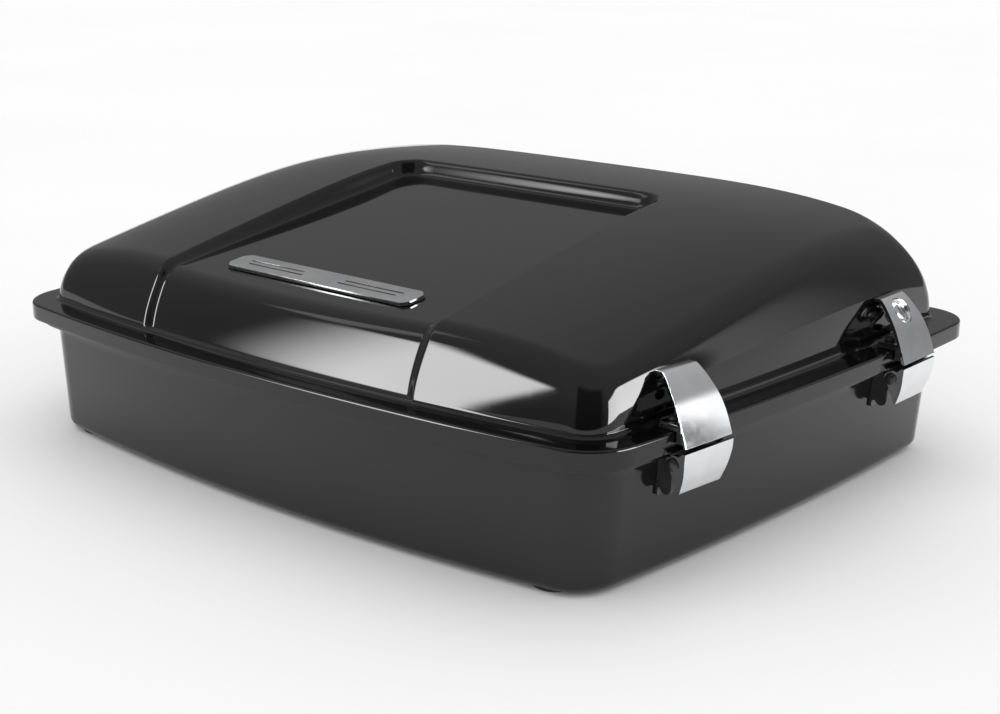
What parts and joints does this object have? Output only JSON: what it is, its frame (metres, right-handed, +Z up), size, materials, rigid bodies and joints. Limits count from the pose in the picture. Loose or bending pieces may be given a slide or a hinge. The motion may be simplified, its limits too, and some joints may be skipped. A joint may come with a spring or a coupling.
{
  "type": "motorcycle luggage trunk",
  "caption": "Low gloss black motorcycle trunk: moulded tub, side-hinged domed lid with a rear recess and badge bar, chrome lever latches and a key lock.",
  "frame": {"origin": "on the ground under the middle of the whole trunk's box", "axes": "+Z up, +Y towards the front of the motorcycle, +X towards the latch side, -X the hinge side"},
  "size_m": [0.6658, 0.482, 0.202],
  "materials": {
    "lid_black": "deep piano-black gloss paint",
    "tub_black": "gloss black moulded shell, slightly greyer than the lid",
    "chrome": "polished chrome",
    "black_metal": "satin black coated steel",
    "steel": "zinc plated steel",
    "rubber": "matt black rubber"
  },
  "bodies": {
    "tub": {"tub_shell": "tub_black", "lid_gasket": "rubber", "rear_left_pad": "rubber", "rear_centre_pad": "rubber", "rear_right_pad": "rubber", "rear_latch_bracket": "black_metal", "rear_latch_pivot_pin": "black_metal", "rear_latch_backing_plate": "steel", "rear_hinge_tub_leaf": "black_metal", "rear_hinge_pin": "steel", "rear_hinge_backing_plate": "steel", "rear_latch_bracket_screw_rear": "steel", "rear_hinge_tub_screw_rear": "steel", "rear_latch_bracket_screw_front": "steel", "rear_hinge_tub_screw_front": "steel", "front_left_pad": "rubber", "front_centre_pad": "rubber", "front_right_pad": "rubber", "front_latch_bracket": "black_metal", "front_latch_pivot_pin": "black_metal", "front_latch_backing_plate": "steel", "front_hinge_tub_leaf": "black_metal", "front_hinge_pin": "steel", "front_hinge_backing_plate": "steel", "front_latch_bracket_screw_rear": "steel", "front_hinge_tub_screw_rear": "steel", "front_latch_bracket_screw_front": "steel", "front_hinge_tub_screw_front": "steel"},
    "lid": {"lid_shell": "lid_black", "badge_backing_pad": "rubber", "badge_plate": "chrome", "lock_cup": "chrome", "rear_latch_keeper": "black_metal", "rear_latch_cover": "chrome", "rear_hinge_lid_leaf": "black_metal", "rear_latch_keeper_screw_rear": "black_metal", "rear_hinge_lid_screw_rear": "steel", "rear_latch_keeper_screw_front": "black_metal", "rear_hinge_lid_screw_front": "steel", "front_latch_keeper": "black_metal", "front_latch_cover": "chrome", "front_hinge_lid_leaf": "black_metal", "front_latch_keeper_screw_rear": "black_metal", "front_hinge_lid_screw_rear": "steel", "front_latch_keeper_screw_front": "black_metal", "front_hinge_lid_screw_front": "steel"},
    "rear_lever": {"rear_latch_lever": "chrome"},
    "front_lever": {"front_latch_lever": "chrome"},
    "lock": {"lock_barrel": "steel", "lock_cam": "steel"}
  },
  "joints": [
    {"name": "lid_hinge", "type": "hinge", "parent": "tub", "child": "lid", "pos_m": [-0.32799, 0.12459, 0.0895], "axis": [0.0698, -0.9976, 0], "range_deg": [0, 80]},
    {"name": "rear_latch_hinge", "type": "hinge", "parent": "tub", "child": "rear_lever", "pos_m": [0.30377, -0.13226, 0.0862], "axis": [-0.1133, -0.9936, 0], "range_deg": [0, 28]},
    {"name": "front_latch_hinge", "type": "hinge", "parent": "tub", "child": "front_lever", "pos_m": [0.3219, 0.11837, 0.0862], "axis": [-0.0282, -0.9996, 0], "range_deg": [0, 28]},
    {"name": "lock_turn", "type": "hinge", "parent": "lid", "child": "lock", "pos_m": [0.31521, 0.11856, 0.132], "axis": [0.7806, -0.022, 0.6247], "range_deg": [0, 90]}
  ]
}
